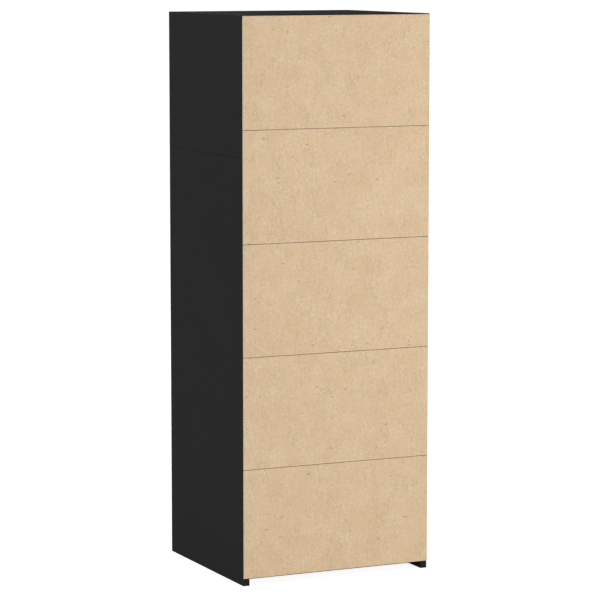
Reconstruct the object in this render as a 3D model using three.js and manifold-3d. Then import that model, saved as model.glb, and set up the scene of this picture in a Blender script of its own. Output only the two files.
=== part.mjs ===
// A tall, narrow chest of five drawers in black melamine board, with a raw hardboard back.
// Millimetres, +Z up. The origin is on the floor, in the middle of the footprint.
// The front faces -Y, so "left" is -X and "right" is +X.
// Drawer 1 is the top one, and each drawer slides out along -Y.

import * as THREE from "three";
import { mergeVertices } from "three/addons/utils/BufferGeometryUtils.js";
import Module from "manifold-3d";

// ---------------------------------------------------------------- driving dimensions

// Overall
const WIDTH = 450;
const DEPTH = 410;
const HEIGHT = 1240;
const DRAWERS = 5;

// Carcass
const BOARD = 15; // carcass boards, rails and drawer fronts
const FOOT = 15; // the side boards stand on the floor, and the bottom panel clears it by this much
const UPPER_SIDE = 305; // each side is two boards, and this is the length of the upper one
const SEAT = 0.3; // hairline between two pieces that are fastened face to face

// Back
const HARDBOARD = 3;
const BACK_TRIM = 2; // the back stops short of the top face and of the bottom panel's underside
const BACK_INSET = 0.5; // and of each side board's outer face
const BACK_SEAM = 0.9; // open joint between two back panels
const LOWEST_SEAM = 257; // floor to the lowest of these joints
const RAIL_LAP = 30; // a back rail reaches this far above and below the joint that it backs

// Drawer fronts
const REVEAL = 3; // above and below each front
const SIDE_REVEAL = 2;
const FRONT_SETBACK = 1; // the fronts sit just inside the carcass's front edges
const GRIP_WIDTH = 120; // finger cut-out in each front's top edge
const GRIP_DEPTH = 28;
const GRIP_RADIUS = 14;
const GRIP_EASE = 6; // rounding where the cut-out meets the top edge

// Drawer boxes
const BOX_BOARD = 12;
const BOX_LIFT = 25; // front's lower edge to the box's lower edge
const BOX_TOP_ROOM = 60; // box's upper edge to the front's upper edge
const REAR_ROOM = 25; // closed box to the back rails
const GROOVE_LIFT = 10; // box's lower edge to the groove for the drawer bottom
const GROOVE_DEPTH = 5;
const GROOVE_PLAY = 0.3; // around the drawer bottom in its grooves

// Roller slides: a runner on the carcass and a rail under each side of the drawer box
const SLIDE_SPACE = 12.5; // box side to carcass side
const STEEL = 1.2;
const SLIDE_PLAY = 1; // sideways and above, between the two profiles
const ROLLER_RADIUS = 7.5;
const ROLL_PLAY = 0.3; // between a roller and what it runs on
const ROLLER_INSET = 12; // end of a profile to its roller's axle
const ROLLER_RISE = 1; // runner's floor to the underside of its own roller
const RAIL_HEIGHT = 16; // drawer rail, over its foot and its flange
const RAIL_FOOT = 9; // reach of the drawer rail under the box side
const SCREW_HOLE = 4.5;
const SCREW_INSET = 40; // end of a profile to its first screw hole
const RUNNER_SCREWS = 3;
const RAIL_SCREWS = 2;
const ROUND = 20; // segments in a roller
const HOLE_SIDES = 10; // segments in a screw hole

// ---------------------------------------------------------------- places worked out from them

const frontFace = -DEPTH / 2;
const boardsBack = DEPTH / 2 - HARDBOARD - SEAT; // rear edge of every carcass board
const innerFace = WIDTH / 2 - BOARD; // inner face of a side board
const betweenSides = innerFace - SEAT; // half length of a board that spans the sides
const splitHeight = HEIGHT - UPPER_SIDE;

const floorOfBays = FOOT + BOARD;
const roofOfBays = HEIGHT - BOARD;
const frontHeight = (roofOfBays - floorOfBays - REVEAL * (DRAWERS + 1)) / DRAWERS;
const frontBack = frontFace + FRONT_SETBACK + BOARD; // inner face of the drawer fronts

const boxHalf = innerFace - SLIDE_SPACE; // half width of a drawer box
const boxFront = frontBack + SEAT;
const boxBack = boardsBack - BOARD - REAR_ROOM;
const boxTop = frontHeight - BOX_TOP_ROOM; // heights in a drawer are from its front's lower edge
const grooveFloor = BOX_LIFT + GROOVE_LIFT;
const bottomLow = grooveFloor + GROOVE_PLAY;
const bottomHigh = bottomLow + HARDBOARD;
const grooveRoof = bottomHigh + GROOVE_PLAY;

const slideFront = boxFront + SEAT;
const slideLength = boxBack - slideFront;

// Heights of the joints between back panels, from the top one down.
const seamPitch = (HEIGHT - LOWEST_SEAM) / (DRAWERS - 1);
const seams = Array.from({ length: DRAWERS - 1 }, (_, i) => HEIGHT - (i + 1) * seamPitch);

// ---------------------------------------------------------------- finishes

const blackMelamine = new THREE.MeshStandardMaterial({ color: 0x2b2b2b, roughness: 0.6, metalness: 0 });
const rawHardboard = new THREE.MeshStandardMaterial({ color: 0xd7bc9b, roughness: 0.85, metalness: 0 });
const drawerHardboard = new THREE.MeshStandardMaterial({ color: 0x34302c, roughness: 0.75, metalness: 0 });
const coatedSteel = new THREE.MeshStandardMaterial({ color: 0xe6e5df, roughness: 0.4, metalness: 0.1 });

// ---------------------------------------------------------------- solids

const wasm = await Module();
wasm.setup();

/** A closed geometry as a manifold-3d solid. */
function solidOf(geometry) {
  const bare = geometry.clone();
  bare.deleteAttribute("normal");
  bare.deleteAttribute("uv");
  const merged = mergeVertices(bare);
  return new wasm.Manifold(
    new wasm.Mesh({
      numProp: 3,
      vertProperties: merged.attributes.position.array,
      triVerts: new Uint32Array(merged.index.array),
    }),
  );
}

/** A manifold-3d solid as a geometry. */
function geometryOf(solid) {
  const mesh = solid.getMesh();
  return new THREE.BufferGeometry()
    .setAttribute("position", new THREE.BufferAttribute(mesh.vertProperties, 3))
    .setIndex(new THREE.BufferAttribute(mesh.triVerts, 1))
    .toNonIndexed();
}

/** body with every one of tools cut away. */
function cut(body, tools) {
  return geometryOf(tools.reduce((left, tool) => left.subtract(solidOf(tool)), solidOf(body)));
}

/** All of bodies joined into one. */
function join(bodies) {
  return geometryOf(bodies.map(solidOf).reduce((whole, body) => whole.add(body)));
}

/** A box between two opposite corners. */
function block(low, high) {
  const size = high.map((value, i) => value - low[i]);
  const middle = high.map((value, i) => (value + low[i]) / 2);
  return new THREE.BoxGeometry(...size).translate(...middle);
}

/** An outline in X and Z, drawn out along Y from start to end. */
function drawnOut(outline, start, end, curveSegments = 6) {
  const depth = end - start;
  return new THREE.ExtrudeGeometry(outline, { depth, bevelEnabled: false, curveSegments })
    .rotateX(Math.PI / 2)
    .translate(0, end, 0);
}

/** A cylinder along X from one x to another, about the point (y, z). */
function rodAlongX(radius, start, end, y, z, sides) {
  return new THREE.CylinderGeometry(radius, radius, end - start, sides)
    .rotateZ(Math.PI / 2)
    .translate((start + end) / 2, y, z);
}

/** A named mesh with a material of its own. */
function piece(name, finish, geometry) {
  const mesh = new THREE.Mesh(geometry, finish.clone());
  mesh.name = name;
  return mesh;
}

// ---------------------------------------------------------------- carcass

/** The two boards of one side. direction is -1 for the left and 1 for the right. */
function sideBoards(label, direction) {
  const board = (low, high) => {
    const xs = [direction * innerFace, (direction * WIDTH) / 2].sort((a, b) => a - b);
    return block([xs[0], frontFace, low], [xs[1], boardsBack, high]);
  };
  return [
    piece(`side_${label}_lower`, blackMelamine, board(0, splitHeight - SEAT / 2)),
    piece(`side_${label}_upper`, blackMelamine, board(splitHeight + SEAT / 2, HEIGHT)),
  ];
}

/** A horizontal panel between the sides, with its underside at a given height. */
function crossPanel(name, underside) {
  return piece(
    name,
    blackMelamine,
    block([-betweenSides, frontFace, underside], [betweenSides, boardsBack, underside + BOARD]),
  );
}

/** The upright rail behind one joint of the back. The one nearest the split in the sides bridges it too. */
function backRail(number, seam) {
  const nearest = seams.reduce((a, b) => (Math.abs(b - splitHeight) < Math.abs(a - splitHeight) ? b : a));
  const backed = seam === nearest ? [seam, splitHeight] : [seam];
  const low = Math.min(...backed) - RAIL_LAP;
  const high = Math.max(...backed) + RAIL_LAP;
  return piece(
    `back_rail_${number}`,
    blackMelamine,
    block([-betweenSides, boardsBack - BOARD, low], [betweenSides, boardsBack, high]),
  );
}

/** The hardboard panels that cover the back from the bottom panel to the top. */
function backPanels() {
  const edges = [HEIGHT - BACK_TRIM, ...seams, FOOT + BACK_TRIM];
  const half = WIDTH / 2 - BACK_INSET;
  return edges.slice(1).map((edge, i) => {
    const high = edges[i] - (i === 0 ? 0 : BACK_SEAM / 2);
    const low = edge + (i === DRAWERS - 1 ? 0 : BACK_SEAM / 2);
    return piece(
      `back_panel_${i + 1}`,
      rawHardboard,
      block([-half, DEPTH / 2 - HARDBOARD, low], [half, DEPTH / 2, high]),
    );
  });
}

function carcass() {
  const group = new THREE.Group();
  group.add(...sideBoards("left", -1), ...sideBoards("right", 1));
  group.add(crossPanel("top_panel", roofOfBays), crossPanel("bottom_panel", FOOT));
  group.add(...seams.map((seam, i) => backRail(i + 1, seam)));
  group.add(...backPanels());
  return group;
}

// ---------------------------------------------------------------- roller slides

// Sections are for the right-hand side of a drawer, with heights from the front's lower edge.
const railWebInner = boxHalf + SEAT;
const railWebOuter = railWebInner + STEEL;
const railFoot = BOX_LIFT - SEAT - STEEL; // underside of the drawer rail
const railFlange = railFoot + RAIL_HEIGHT; // top of its flange
const runnerWebOuter = innerFace - SEAT;
const runnerWebInner = runnerWebOuter - STEEL;
const rollerTop = railFlange - STEEL - ROLL_PLAY; // of the runner's roller
const runnerFloor = rollerTop - 2 * ROLLER_RADIUS - ROLLER_RISE; // top of its lower flange
const runnerRoof = railFlange + SLIDE_PLAY; // underside of its upper flange
const rollerWidth = runnerWebInner - railWebOuter - 2 * SLIDE_PLAY;

/** An outline through points given as [x, z] pairs. */
function outline(points) {
  return new THREE.Shape(points.map(([x, z]) => new THREE.Vector2(x, z)));
}

/** Evenly spaced screw holes through an upright web, as solids to cut away. */
function screwHoles(count, webInner, webOuter, height) {
  const pitch = (slideLength - 2 * SCREW_INSET) / (count - 1);
  return Array.from({ length: count }, (_, i) => {
    const along = slideFront + SCREW_INSET + i * pitch;
    return rodAlongX(SCREW_HOLE / 2, webInner - STEEL, webOuter + STEEL, along, height, HOLE_SIDES);
  });
}

/** The runner on the carcass: a channel that opens towards the drawer, with a roller at its front end. */
function runnerGeometry() {
  const tip = railWebOuter + SLIDE_PLAY;
  const section = outline([
    [tip, runnerFloor - STEEL],
    [runnerWebOuter, runnerFloor - STEEL],
    [runnerWebOuter, runnerRoof + STEEL],
    [tip, runnerRoof + STEEL],
    [tip, runnerRoof],
    [runnerWebInner, runnerRoof],
    [runnerWebInner, runnerFloor],
    [tip, runnerFloor],
  ]);
  const channel = drawnOut(section, slideFront, slideFront + slideLength);
  const axleHeight = runnerFloor + ROLLER_RISE + ROLLER_RADIUS;
  const roller = rodAlongX(
    ROLLER_RADIUS,
    runnerWebInner - rollerWidth,
    runnerWebInner + STEEL / 2,
    slideFront + ROLLER_INSET,
    axleHeight,
    ROUND,
  );
  const holes = screwHoles(RUNNER_SCREWS, runnerWebInner, runnerWebOuter, (runnerFloor + runnerRoof) / 2);
  return cut(join([channel, roller]), holes);
}

/** The rail on the drawer: a foot under the box side, a web up it, and a flange over the runner's roller. */
function railGeometry() {
  const tip = runnerWebInner - SLIDE_PLAY;
  const heel = boxHalf - RAIL_FOOT;
  const section = outline([
    [heel, railFoot],
    [railWebOuter, railFoot],
    [railWebOuter, railFlange - STEEL],
    [tip, railFlange - STEEL],
    [tip, railFlange],
    [railWebInner, railFlange],
    [railWebInner, railFoot + STEEL],
    [heel, railFoot + STEEL],
  ]);
  const profile = drawnOut(section, slideFront, slideFront + slideLength);
  const roller = rodAlongX(
    ROLLER_RADIUS,
    railWebOuter - STEEL / 2,
    railWebOuter + rollerWidth,
    slideFront + slideLength - ROLLER_INSET,
    runnerFloor + ROLL_PLAY + ROLLER_RADIUS,
    ROUND,
  );
  const holes = screwHoles(RAIL_SCREWS, railWebInner, railWebOuter, (railFoot + railFlange) / 2);
  return cut(join([profile, roller]), holes);
}

/** The same slide part on both sides: the left one mirrors the right one. */
function slidePair(name, geometry) {
  const right = piece(`${name}_right`, coatedSteel, geometry);
  const left = piece(`${name}_left`, coatedSteel, geometry);
  left.scale.x = -1;
  return [left, right];
}

// ---------------------------------------------------------------- drawers

/** The front's outline, with the finger cut-out in its top edge. */
function frontOutline() {
  const half = innerFace - SIDE_REVEAL;
  const grip = GRIP_WIDTH / 2;
  const gripFloor = frontHeight - GRIP_DEPTH;
  const shape = new THREE.Shape();
  shape.moveTo(-half, 0);
  shape.lineTo(half, 0);
  shape.lineTo(half, frontHeight);
  shape.lineTo(grip + GRIP_EASE, frontHeight);
  shape.absarc(grip + GRIP_EASE, frontHeight - GRIP_EASE, GRIP_EASE, Math.PI / 2, Math.PI, false);
  shape.absarc(grip - GRIP_RADIUS, gripFloor + GRIP_RADIUS, GRIP_RADIUS, 0, -Math.PI / 2, true);
  shape.absarc(-grip + GRIP_RADIUS, gripFloor + GRIP_RADIUS, GRIP_RADIUS, -Math.PI / 2, -Math.PI, true);
  shape.absarc(-grip - GRIP_EASE, frontHeight - GRIP_EASE, GRIP_EASE, 0, Math.PI / 2, false);
  shape.lineTo(-half, frontHeight);
  return shape;
}

/** The front board, grooved inside for the drawer bottom. */
function frontGeometry() {
  const board = drawnOut(frontOutline(), frontFace + FRONT_SETBACK, frontBack);
  const reach = boxHalf - BOX_BOARD + GROOVE_DEPTH;
  const blindEnd = frontBack - GROOVE_DEPTH;
  const groove = block([-reach, blindEnd, grooveFloor], [reach, frontBack + SEAT, grooveRoof]);
  return cut(board, [groove]);
}

/** The box's right side board, grooved inside for the drawer bottom. */
function boxSideGeometry() {
  const inside = boxHalf - BOX_BOARD;
  const board = block([inside, boxFront, BOX_LIFT], [boxHalf, boxBack, boxTop]);
  const groove = block(
    [inside - SEAT, boxFront - SEAT, grooveFloor],
    [inside + GROOVE_DEPTH, boxBack + SEAT, grooveRoof],
  );
  return cut(board, [groove]);
}

/** The box's back board, which stands on the drawer bottom. */
function boxBackGeometry() {
  const half = boxHalf - BOX_BOARD - SEAT;
  return block([-half, boxBack - BOX_BOARD, bottomHigh + SEAT], [half, boxBack, boxTop]);
}

/** The drawer bottom, held in the grooves of the front and the sides. */
function boxBottomGeometry() {
  const half = boxHalf - BOX_BOARD + GROOVE_DEPTH - GROOVE_PLAY;
  return block([-half, frontBack - GROOVE_DEPTH + GROOVE_PLAY, bottomLow], [half, boxBack, bottomHigh]);
}

/** A drawer with its slide rails, and the runners that carry it. */
function bay(number, height) {
  const group = new THREE.Group();
  group.position.z = height;
  const name = `drawer_${number}`;
  const rightSide = piece(`${name}_side_right`, blackMelamine, boxSideGeometry());
  const leftSide = piece(`${name}_side_left`, blackMelamine, boxSideGeometry());
  leftSide.scale.x = -1;
  group.add(
    piece(`${name}_front`, blackMelamine, frontGeometry()),
    leftSide,
    rightSide,
    piece(`${name}_back`, blackMelamine, boxBackGeometry()),
    piece(`${name}_bottom`, drawerHardboard, boxBottomGeometry()),
    ...slidePair(`${name}_rail`, railGeometry()),
    ...slidePair(`runner_${number}`, runnerGeometry()),
  );
  return group;
}

// ---------------------------------------------------------------- chest

const chest = new THREE.Group();
chest.add(carcass());
for (let number = 1; number <= DRAWERS; number += 1) {
  chest.add(bay(number, roofOfBays - number * (frontHeight + REVEAL)));
}

export default chest;
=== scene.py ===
"""Looks for a tall chest of drawers: black melamine board, a bare hardboard back and roller slides.

Metres, +Z up. The drawer fronts face -Y and the hardboard back faces +Y.
"""

import logging
from collections.abc import Callable, Iterator, Sequence
from contextlib import contextmanager
from dataclasses import dataclass, field
from enum import Enum

import bmesh
import bpy
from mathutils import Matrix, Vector


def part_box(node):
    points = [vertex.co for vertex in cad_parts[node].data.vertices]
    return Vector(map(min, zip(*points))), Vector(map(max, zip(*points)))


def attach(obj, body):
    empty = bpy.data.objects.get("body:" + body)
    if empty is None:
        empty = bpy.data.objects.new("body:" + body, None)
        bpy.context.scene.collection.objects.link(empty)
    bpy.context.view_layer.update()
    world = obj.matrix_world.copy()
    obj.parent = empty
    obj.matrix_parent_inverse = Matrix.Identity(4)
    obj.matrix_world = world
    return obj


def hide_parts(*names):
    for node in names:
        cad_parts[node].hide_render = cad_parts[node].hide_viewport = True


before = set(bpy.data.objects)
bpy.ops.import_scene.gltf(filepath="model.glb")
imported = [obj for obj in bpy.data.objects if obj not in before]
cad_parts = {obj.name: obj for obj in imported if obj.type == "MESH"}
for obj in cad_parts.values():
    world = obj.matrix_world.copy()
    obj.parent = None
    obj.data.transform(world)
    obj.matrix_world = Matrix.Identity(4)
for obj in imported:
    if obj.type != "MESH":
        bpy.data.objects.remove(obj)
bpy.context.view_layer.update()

MM = 0.001
QUARTER_TURN = 1.5707963
# A direction whose share along an axis is above this runs along it.
ALONG = 0.9
# Points nearer than this are the same point.
TOUCHING = 0.01 * MM
# Faces that meet at more than this angle have a sharp edge between them.
SHARP = 0.6
LOG = logging.getLogger("chest")


# ---------------------------------------------------------------- names


class Pick(Enum):
    """What an edit selects."""

    EDGE = "EDGE"
    FACE = "FACE"


class Facing(Enum):
    """The way that a screw head or a cam looks out of its board."""

    RIGHT = (1.0, 0.0, 0.0)
    LEFT = (-1.0, 0.0, 0.0)
    FRONT = (0.0, -1.0, 0.0)
    UP = (0.0, 0.0, 1.0)
    DOWN = (0.0, 0.0, -1.0)

    @property
    def vector(self) -> Vector:
        """The direction as a vector."""
        return Vector(self.value)


class Side(Enum):
    """A hand of the chest, seen from the front."""

    LEFT = "left"
    RIGHT = "right"

    @property
    def sign(self) -> int:
        """-1 on the left and 1 on the right."""
        return 1 if self is Side.RIGHT else -1

    @property
    def outward(self) -> Facing:
        """The way out of the chest on this side."""
        return Facing.RIGHT if self is Side.RIGHT else Facing.LEFT

    @property
    def inward(self) -> Facing:
        """The way into the chest from this side."""
        return Facing.LEFT if self is Side.RIGHT else Facing.RIGHT


class Slot(Enum):
    """The record's material slots."""

    MELAMINE = "black_melamine"
    HARDBOARD = "raw_hardboard"
    DRAWER_HARDBOARD = "drawer_hardboard"
    STEEL = "coated_steel"


# ---------------------------------------------------------------- node wiring


class Wiring:
    """A node tree that is being wired, with short calls for the nodes it needs."""

    def __init__(self, tree: bpy.types.NodeTree) -> None:
        """Empties the tree.

        Args:
            tree: The material's or group's node tree.
        """
        self.tree = tree
        tree.nodes.clear()

    def node(self, kind: str, inputs: dict | None = None, **settings: object) -> bpy.types.Node:
        """Adds a node.

        Args:
            kind: Its Blender type, such as ShaderNodeTexNoise.
            inputs: For each input, by name or number, a plain value or the socket that feeds it.
            **settings: Its own properties.

        Returns:
            The node.
        """
        made = self.tree.nodes.new(kind)
        for name, value in settings.items():
            setattr(made, name, value)
        for key, value in (inputs or {}).items():
            if isinstance(value, bpy.types.NodeSocket):
                self.tree.links.new(value, made.inputs[key])
            else:
                made.inputs[key].default_value = value
        return made

    def math(self, operation: str, first: object, second: object = 0.0) -> bpy.types.NodeSocket:
        """Adds a Math node and returns its value."""
        return self.node("ShaderNodeMath", {0: first, 1: second}, operation=operation).outputs[0]

    def shifted(self, value: object, factor: float, plus: float) -> bpy.types.NodeSocket:
        """Multiplies a value by a factor and adds a number to it."""
        values = {0: value, 1: factor, 2: plus}
        return self.node("ShaderNodeMath", values, operation="MULTIPLY_ADD").outputs[0]

    def stretched(self, place: bpy.types.NodeSocket, scale: Sequence[float]) -> bpy.types.NodeSocket:
        """Multiplies a position by a scale along each axis."""
        made = self.node("ShaderNodeVectorMath", {0: place, 1: tuple(scale)}, operation="MULTIPLY")
        return made.outputs[0]

    def noise(
        self,
        place: bpy.types.NodeSocket,
        scale: object,
        seed: object = 0.0,
        detail: float = 2.0,
        roughness: float = 0.5,
        distortion: float = 0.0,
    ) -> bpy.types.NodeSocket:
        """Adds seeded noise.

        Args:
            place: The position it reads.
            scale: Features per metre.
            seed: Which slice of the noise this is.
            detail: Octaves.
            roughness: How strong the finer octaves are.
            distortion: How much the pattern curls.

        Returns:
            Its value, from 0 to 1.
        """
        values = {"Vector": place, "W": seed, "Scale": scale}
        values |= {"Detail": detail, "Roughness": roughness, "Distortion": distortion}
        return self.node("ShaderNodeTexNoise", values, noise_dimensions="4D").outputs[0]

    def ramp(
        self, value: object, low: float, high: float, to_low: object = 0.0, to_high: object = 1.0
    ) -> bpy.types.NodeSocket:
        """Maps low to high smoothly onto to_low to to_high, and holds it there outside them."""
        values = {"Value": value, "From Min": low, "From Max": high, "To Min": to_low, "To Max": to_high}
        return self.node("ShaderNodeMapRange", values, interpolation_type="SMOOTHSTEP").outputs[0]

    def mix(self, amount: object, first: object, second: object) -> bpy.types.NodeSocket:
        """Mixes two colours and returns the result."""
        values = {0: amount, 6: first, 7: second}
        return self.node("ShaderNodeMix", values, data_type="RGBA").outputs[2]

    def bump(self, height: object, distance: float, strength: float = 1.0) -> bpy.types.NodeSocket:
        """Turns a height into a normal, distance being the height of 1 in metres."""
        values = {"Height": height, "Distance": distance, "Strength": strength}
        return self.node("ShaderNodeBump", values).outputs[0]


class SurfaceGroup:
    """A shader node group that gives a surface's varying values."""

    def __init__(self, name: str, inputs: dict[str, float], outputs: Sequence[str]) -> None:
        """Makes the group and its sockets.

        Args:
            name: The group's name.
            inputs: Each number it takes, with its usual value. It also takes a position.
            outputs: Each value that it gives.
        """
        self.tree = bpy.data.node_groups.new(name, "ShaderNodeTree")
        sockets = self.tree.interface
        sockets.new_socket("Position", in_out="INPUT", socket_type="NodeSocketVector")
        for socket, usual in inputs.items():
            made = sockets.new_socket(socket, in_out="INPUT", socket_type="NodeSocketFloat")
            made.default_value = usual
        for socket in outputs:
            sockets.new_socket(socket, in_out="OUTPUT", socket_type="NodeSocketFloat")
        self.wiring = Wiring(self.tree)
        self.given = self.wiring.node("NodeGroupInput").outputs

    def give(self, **values: bpy.types.NodeSocket) -> None:
        """Wires the outputs, each named by its socket's name."""
        self.wiring.node("NodeGroupOutput", values)

    def placed(
        self, wiring: Wiring, place: bpy.types.NodeSocket, **values: float
    ) -> bpy.types.bpy_prop_collection:
        """Puts the group into a material.

        Args:
            wiring: The material's wiring.
            place: The position that the group reads.
            **values: Its inputs, by name.

        Returns:
            Its outputs.
        """
        return wiring.node("ShaderNodeGroup", {"Position": place, **values}, node_tree=self.tree).outputs


class Effects:
    """The surface effects that several finishes share, each built once."""

    def __init__(self) -> None:
        """Builds every group."""
        self.pearl = self._pearl()
        self.fibres = self._fibres()
        self.handling = self._handling()
        self.dust = self._dust()

    @staticmethod
    def _pearl() -> SurfaceGroup:
        """The fine pebbled skin of melamine, edging tape or sprayed enamel."""
        group = SurfaceGroup("pearl_skin", {"Pebbles": 1800.0, "Seed": 0.0}, ["Height", "Tone"])
        wiring, given = group.wiring, group.given
        pebbles = wiring.noise(given["Position"], given["Pebbles"], given["Seed"], detail=3.0)
        swell = wiring.noise(given["Position"], 90.0, given["Seed"], detail=1.0)
        height = wiring.math("ADD", pebbles, wiring.math("MULTIPLY", swell, 0.6))
        group.give(Height=height, Tone=wiring.ramp(pebbles, 0.35, 0.65))
        return group

    @staticmethod
    def _fibres() -> SurfaceGroup:
        """Pressed wood fibre: curled strands, cloudy patches, upright drag marks and dark specks."""
        outputs = ["Strands", "Clouds", "Warmth", "Drag", "Specks", "Height"]
        group = SurfaceGroup("pressed_fibres", {"Seed": 0.0, "Strand Scale": 190.0}, outputs)
        wiring, given = group.wiring, group.given
        place, seed = given["Position"], given["Seed"]
        curled = wiring.noise(place, given["Strand Scale"], seed, detail=5.0, roughness=0.66, distortion=1.3)
        fine = wiring.noise(place, 1500.0, seed, detail=3.0, roughness=0.6, distortion=0.8)
        broad, thin = wiring.math("MULTIPLY", curled, 0.85), wiring.math("MULTIPLY", fine, 0.15)
        strands = wiring.math("ADD", broad, thin)
        clouds = wiring.noise(place, 26.0, seed, detail=4.0, roughness=0.6)
        warmth = wiring.noise(place, 30.0, wiring.math("ADD", seed, 7.3), detail=4.0, roughness=0.6)
        upright = wiring.stretched(place, (1.0, 1.0, 0.12))
        drag = wiring.noise(upright, 210.0, seed, detail=3.0, roughness=0.55)
        parts = wiring.node("ShaderNodeSeparateXYZ", {0: place}).outputs
        across = wiring.math("ADD", parts[0], seed)
        along = wiring.math("ADD", parts[1], parts[2])
        flat = wiring.node("ShaderNodeCombineXYZ", {0: across, 1: along}).outputs[0]
        wander = wiring.node("ShaderNodeTexNoise", {"Vector": place, "Scale": 420.0, "Detail": 1.0})
        moved = {0: wander.outputs[1], 1: (0.0016,) * 3, 2: flat}
        shaken = wiring.node("ShaderNodeVectorMath", moved, operation="MULTIPLY_ADD").outputs[0]
        drawn_out = wiring.stretched(shaken, (0.42, 1.0, 1.0))
        large = Effects._specks(wiring, drawn_out, scale=70.0, rarity=0.86)
        small = Effects._specks(wiring, shaken, scale=190.0, rarity=0.8)
        specks = wiring.math("MAXIMUM", large, wiring.math("MULTIPLY", small, 0.55))
        group.give(
            Strands=strands,
            Clouds=clouds,
            Warmth=warmth,
            Drag=drag,
            Specks=specks,
            Height=wiring.math("SUBTRACT", strands, wiring.math("MULTIPLY", specks, 0.3)),
        )
        return group

    @staticmethod
    def _specks(
        wiring: Wiring, flat: bpy.types.NodeSocket, scale: float, rarity: float
    ) -> bpy.types.NodeSocket:
        """Scatters dark specks over a flat sheet.

        Args:
            wiring: The group's wiring.
            flat: The position in the sheet's plane.
            scale: Places for a speck, per metre.
            rarity: The share of those places that stay empty.

        Returns:
            How much of a speck is at each point.
        """
        cells = wiring.node("ShaderNodeTexVoronoi", {"Vector": flat, "Scale": scale}, voronoi_dimensions="2D")
        chosen = wiring.node("ShaderNodeSeparateColor", {0: cells.outputs["Color"]}).outputs
        radius = wiring.ramp(chosen[1], 0.0, 1.0, 0.04, 0.12)
        near = wiring.ramp(wiring.math("DIVIDE", cells.outputs["Distance"], radius), 0.6, 1.2, 1.0, 0.0)
        return wiring.math("MULTIPLY", near, wiring.ramp(chosen[0], rarity, 0.97, 0.0, 1.0))

    @staticmethod
    def _handling() -> SurfaceGroup:
        """Faint smears and fine scuffs that change how a surface shines."""
        group = SurfaceGroup("handling_marks", {"Seed": 0.0}, ["Smears", "Scuffs"])
        wiring, given = group.wiring, group.given
        broad = wiring.noise(given["Position"], 6.0, given["Seed"], detail=4.0, roughness=0.6, distortion=0.9)
        long = wiring.stretched(given["Position"], (1.0, 0.35, 0.05))
        scuffs = wiring.noise(long, 900.0, given["Seed"])
        group.give(Smears=wiring.ramp(broad, 0.4, 0.68), Scuffs=wiring.ramp(scuffs, 0.63, 0.75))
        return group

    @staticmethod
    def _dust() -> SurfaceGroup:
        """Settled dust on what faces up."""
        group = SurfaceGroup("settled_dust", {"Amount": 0.2, "Seed": 0.0}, ["Dust"])
        wiring, given = group.wiring, group.given
        normal = wiring.node("ShaderNodeNewGeometry").outputs["True Normal"]
        upward = wiring.ramp(wiring.node("ShaderNodeSeparateXYZ", {0: normal}).outputs[2], 0.6, 1.0)
        settled = wiring.noise(given["Position"], 34.0, given["Seed"], detail=6.0, roughness=0.7)
        drift = wiring.ramp(settled, 0.3, 0.75)
        group.give(Dust=wiring.math("MULTIPLY", wiring.math("MULTIPLY", upward, drift), given["Amount"]))
        return group


# ---------------------------------------------------------------- finishes

Colour = tuple[float, float, float, float]


@dataclass(frozen=True)
class MelamineFinish:
    """Matt black melamine paper or its edging tape."""

    name: str
    colour: Colour = (0.0282, 0.028, 0.0278, 1.0)
    worn: Colour = (0.0352, 0.035, 0.0347, 1.0)
    dusty: Colour = (0.05, 0.049, 0.047, 1.0)
    roughness: float = 0.62
    specular: float = 0.016
    pebbles: float = 1800.0
    relief: float = 0.00002
    seed: float = 0.0

    def build(self, effects: Effects) -> bpy.types.Material:
        """Makes the material.

        Args:
            effects: The shared groups.

        Returns:
            The material.
        """
        material, wiring, place = new_material(self.name)
        pearl = effects.pearl.placed(wiring, place, Pebbles=self.pebbles, Seed=self.seed)
        marks = effects.handling.placed(wiring, place, Seed=self.seed)
        dust = effects.dust.placed(wiring, place, Amount=0.03, Seed=self.seed)
        toned = wiring.mix(wiring.math("MULTIPLY", pearl["Tone"], 0.6), self.colour, self.worn)
        colour = wiring.mix(dust["Dust"], toned, self.dusty)
        shine = wiring.shifted(marks["Smears"], 0.06, self.roughness - 0.03)
        rough = wiring.math("ADD", shine, wiring.math("MULTIPLY", marks["Scuffs"], -0.05))
        surface(
            wiring,
            {
                "Base Color": colour,
                "Roughness": rough,
                "Specular IOR Level": self.specular,
                "Normal": wiring.bump(pearl["Height"], self.relief, 0.7),
            },
        )
        return material


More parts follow.
